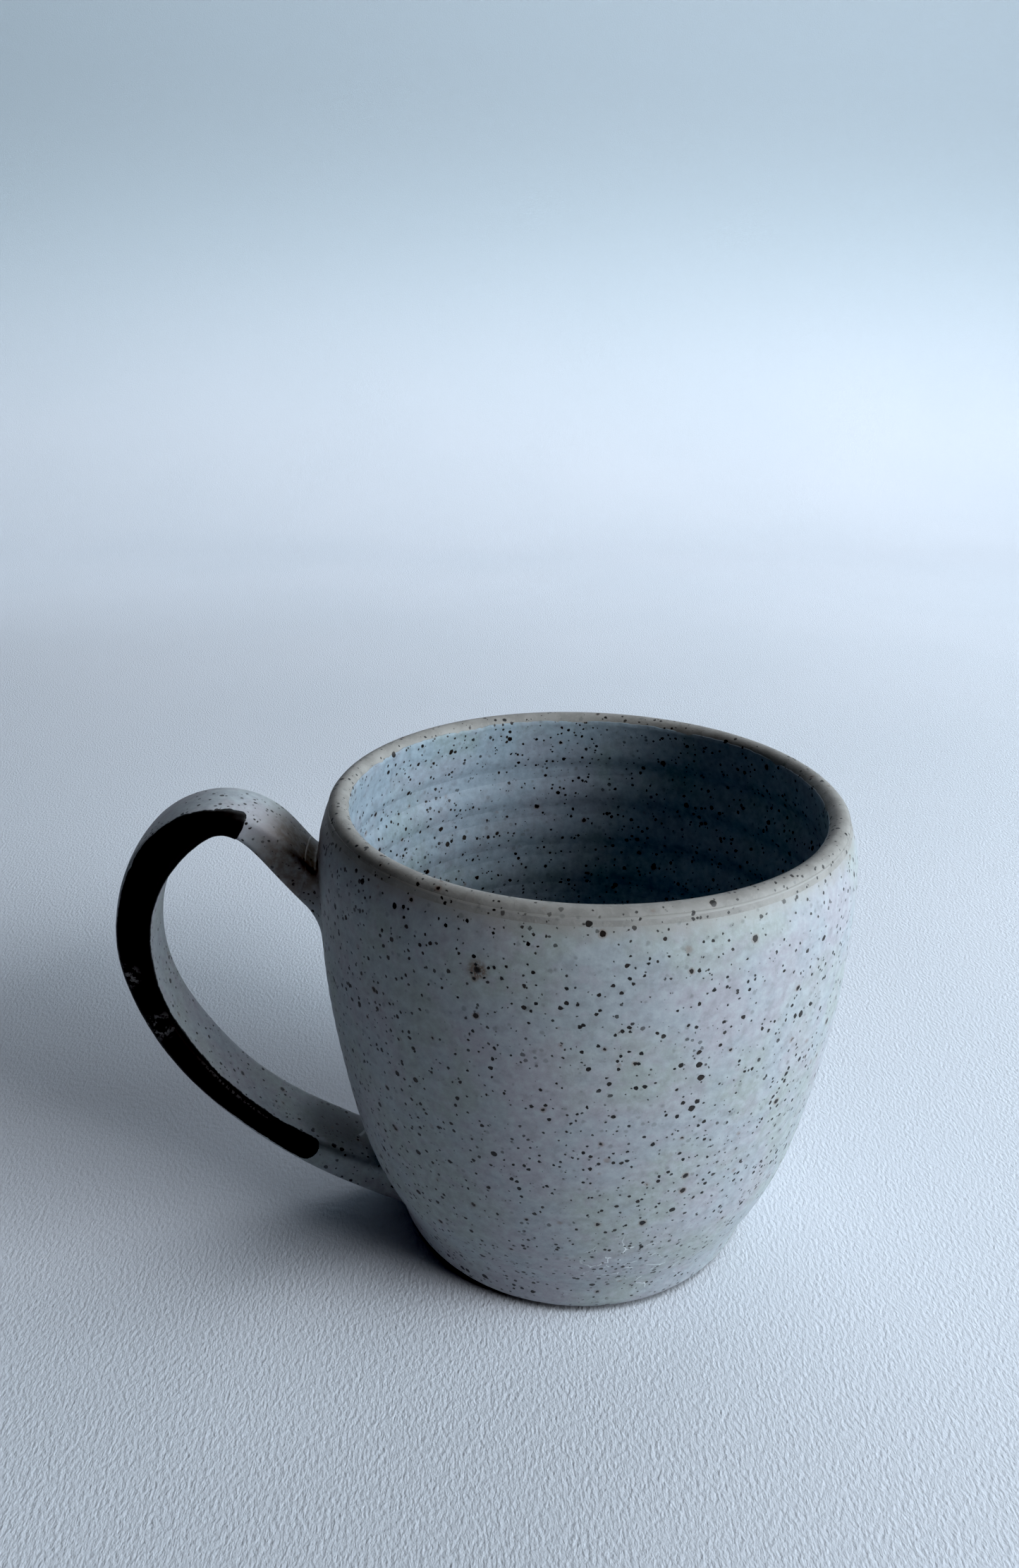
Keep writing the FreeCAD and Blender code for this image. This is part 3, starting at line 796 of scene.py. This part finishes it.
TURN_R = 44.0                   # radius at which distance round the wall is measured, in mm


def wall_point(turn, z, sink):
    """A point on the wall from distance round it (from -X) and height, sunk into it."""
    r = wall_r(z) - sink
    angle = math.pi + turn / TURN_R
    return np.stack([r * np.cos(angle), r * np.sin(angle), z], -1)


def blend(direction, amounts):
    """Mix amounts for (sideways, up, down) by the direction (round, up) on the wall."""
    weights = (abs(direction[0]), max(0.0, direction[1]), max(0.0, -direction[1]))
    return sum(a * w for a, w in zip(amounts, weights)) / sum(weights)


def joint(name, near_top, node, run_out, spread):
    """Slip smoothed round a root: it leaves the strap and dies into the wall.

    run_out and spread say how far it goes up the strap and over the wall, in mm, on the
    root's sides, above it and below it.
    """
    along = np.linspace(0, LENGTH * 0.25, 900)
    if not near_top:
        along = LENGTH - along
    around = np.linspace(0, 1, 120, endpoint=False)
    # where each line along the strap comes out of the wall
    out = []
    for share in around:
        line, _ = at_share(along, share)
        clear = np.hypot(line[:, 0], line[:, 1]) - wall_r(line[:, 2])
        out.append(along[np.argmax(clear > 0)])
    feet = np.array([at_share(np.array([a]), share)[0][0] for a, share in zip(out, around)])
    turn = (np.arctan2(feet[:, 1], feet[:, 0]) % TAU - math.pi) * TURN_R
    mid_z = (feet[:, 2].max() + feet[:, 2].min()) / 2
    away = np.stack([turn, feet[:, 2] - mid_z], 1)
    away /= np.linalg.norm(away, axis=1)[:, None]
    u = np.linspace(0, 1, 15)[:, None]
    grid = []
    for a, share, foot, t, d in zip(out, around, feet, turn, away):
        step = blend(d, run_out) if near_top else -blend(d, run_out)
        point, normal = (v[0] for v in at_share(np.array([a + step]), share))
        wall_run = blend(d, spread)
        z_end = max(foot[2] + d[1] * wall_run, BARE_FOOT + 0.3)
        start = point + normal * 0.015
        corner = wall_point(t, foot[2], -0.05)
        end = wall_point(t + d[0] * wall_run, z_end, -0.02)
        fillet = (1 - u) ** 2 * start + 2 * u * (1 - u) * corner + u ** 2 * end
        inner = [wall_point(t + d[0] * wall_run, z_end, 1.2), wall_point(t, foot[2], 1.2),
                 point - normal * 0.9]
        grid.append(np.vstack([fillet, inner]))
    grid_piece(name, np.array(grid), outer_glaze, node)


cup()
outer_coat()
liner_coat()
strap_coat()
dark_band()
joint("upper_joint_slip", True, "upper_joint", (3.5, 3.0, 7.0), (2.4, 1.6, 7.0))
joint("lower_joint_slip", False, "lower_joint", (4.0, 6.5, 3.0), (3.0, 5.0, 1.2))
# the strap's own clay lies under its glaze, so the CAD node stays and takes the clay's look
handle_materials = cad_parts["handle"].data.materials
for slot_index in range(len(handle_materials)):
    handle_materials[slot_index] = clay


# ------------------------------------------------------------------ floor and backdrop
def paper_material():
    """Pale matt paper with a fine laid texture, with painted shade and light in its tone: darker
    towards the front and up the wall, lighter at the back, and a painted shadow round the foot.
    """
    n = Nodes("studio_paper")
    weave = n.noise(n.vector("MULTIPLY", n.mm, (1.0, 0.55, 1.0)), 0.62, 2.0, 0.55)
    slow = n.noise(n.mm, 140.0, 2.0)
    _, y, z = n.split()[:3]
    floor = n.mix(n.ramp(slow, 0.3, 0.7), (0.605, 0.635, 0.690), (0.625, 0.650, 0.705))
    colour = n.mix(n.ramp(z, 10.0, 260.0), floor, (0.565, 0.640, 0.700))
    # painted shade and light: the paper darkens towards the front and up the wall and lightens
    # towards the back
    painted_shade_front = n.ramp(y, -250.0, 80.0, 0.84, 1.0)
    painted_light_back = n.ramp(y, 220.0, 600.0, 1.0, 1.28)
    shade = n.math("MULTIPLY", painted_shade_front, painted_light_back)
    shade = n.math("MULTIPLY", shade, n.ramp(z, 50.0, 340.0, 1.0, 0.65))
    # painted shadow: a dark ring on the paper round the foot
    painted_foot_shadow = n.ramp(n.from_axis(), FOOT_R + 0.4, FOOT_R + 1.9, 0.32, 1.0)
    shade = n.math("MULTIPLY", shade, painted_foot_shadow)
    colour = n.vector("MULTIPLY", colour, shade)
    n.put(n.shader.inputs["Base Color"], colour)
    n.shader.inputs["Roughness"].default_value = 0.85
    n.shader.inputs["Specular IOR Level"].default_value = 0.2
    n.put(n.shader.inputs["Normal"], n.bump(weave, 0.7, 0.00032))
    return n.material


def sweep():
    """Seamless paper, in metres: floor, a wide curve and a wall behind."""
    front, depth, bend, high, half = -1.6, 0.62, 0.35, 2.2, 2.6
    line = [(front, 0.0), (depth, 0.0)]
    for a in np.linspace(0, math.pi / 2, 25)[1:]:
        line.append((depth + bend * math.sin(a), bend - bend * math.cos(a)))
    line.append((depth + bend, high))
    verts = [(x, y, z) for y, z in line for x in (-half, half)]
    faces = [(2 * i, 2 * i + 1, 2 * i + 3, 2 * i + 2) for i in range(len(line) - 1)]
    mesh = bpy.data.meshes.new("studio_sweep")
    mesh.from_pydata(verts, [], faces)
    mesh.polygons.foreach_set("use_smooth", [True] * len(mesh.polygons))
    mesh.materials.append(paper_material())
    piece = bpy.data.objects.new("studio_sweep", mesh)
    bpy.context.scene.collection.objects.link(piece)


def area_light(name, place, target, size, power, colour):
    """A soft rectangular light in metres and watts, aimed at a target."""
    data = bpy.data.lights.new(name, "AREA")
    data.shape = "RECTANGLE"
    data.size, data.size_y = size
    data.energy = power
    data.color = colour
    lamp = bpy.data.objects.new(name, data)
    lamp.location = place
    lamp.rotation_euler = (Vector(target) - Vector(place)).to_track_quat("-Z", "Y").to_euler()
    bpy.context.scene.collection.objects.link(lamp)


def studio():
    """A pale sweep under windows on the mug's right and front."""
    sweep()
    day = (0.915, 0.955, 1.0)
    sky = (0.80, 0.945, 1.03)
    middle = (0, 0, 0.04)
    area_light("window_low", (0.9, -0.1, 0.35), middle, (0.5, 0.4), 5.5, sky)
    area_light("window_middle", (0.95, -0.35, 0.40), middle, (0.5, 0.5), 5.9, sky)
    area_light("window_front", (0.75, -0.5, 0.5), middle, (0.5, 0.5), 4.7, day)
    area_light("window_far", (1.4, -0.9, 0.9), middle, (0.8, 0.8), 13.7, day)
    area_light("back_fill", (0.2, 0.75, 0.9), (0, 0.1, 0.0), (1.0, 0.4), 3.8, day)
    area_light("backdrop_wash", (-0.5, 0.30, 0.5), (-0.7, 0.97, 0.5), (0.5, 0.5), 0.9, sky)
    world = bpy.data.worlds.new("studio_air")
    world.use_nodes = True
    air = world.node_tree.nodes["Background"]
    air.inputs["Color"].default_value = (0.70, 0.75, 0.82, 1)
    air.inputs["Strength"].default_value = 0.01
    bpy.context.scene.world = world


# the camera's angles, in degrees
TURNED = -3.0
LOOKING_DOWN = 21.92
ROLLED = 0.80


def camera():
    """The view: from the front and above, turned a little to the handle's side."""
    data = bpy.data.cameras.new("camera")
    data.sensor_width = 36.0
    data.lens = 27.37
    data.clip_start = 0.01
    cam = bpy.data.objects.new("camera", data)
    turn = Euler((0, 0, math.radians(TURNED))).to_matrix()
    cam.location = turn @ Vector((-0.01294, -0.18444, 0.15770))
    tilt = Euler((math.radians(90 - LOOKING_DOWN), 0, 0)).to_matrix()
    roll = Euler((0, 0, math.radians(ROLLED))).to_matrix()
    cam.rotation_euler = (turn @ tilt @ roll).to_euler()
    bpy.context.scene.collection.objects.link(cam)
    bpy.context.scene.camera = cam


studio()
camera()
# the blacks are crushed a little, as deep shade inside the cup asks for
view = bpy.context.scene.view_settings
view.view_transform = "Standard"
view.use_curve_mapping = True
view.curve_mapping.black_level = (0.008, 0.0095, 0.0105)
view.curve_mapping.update()
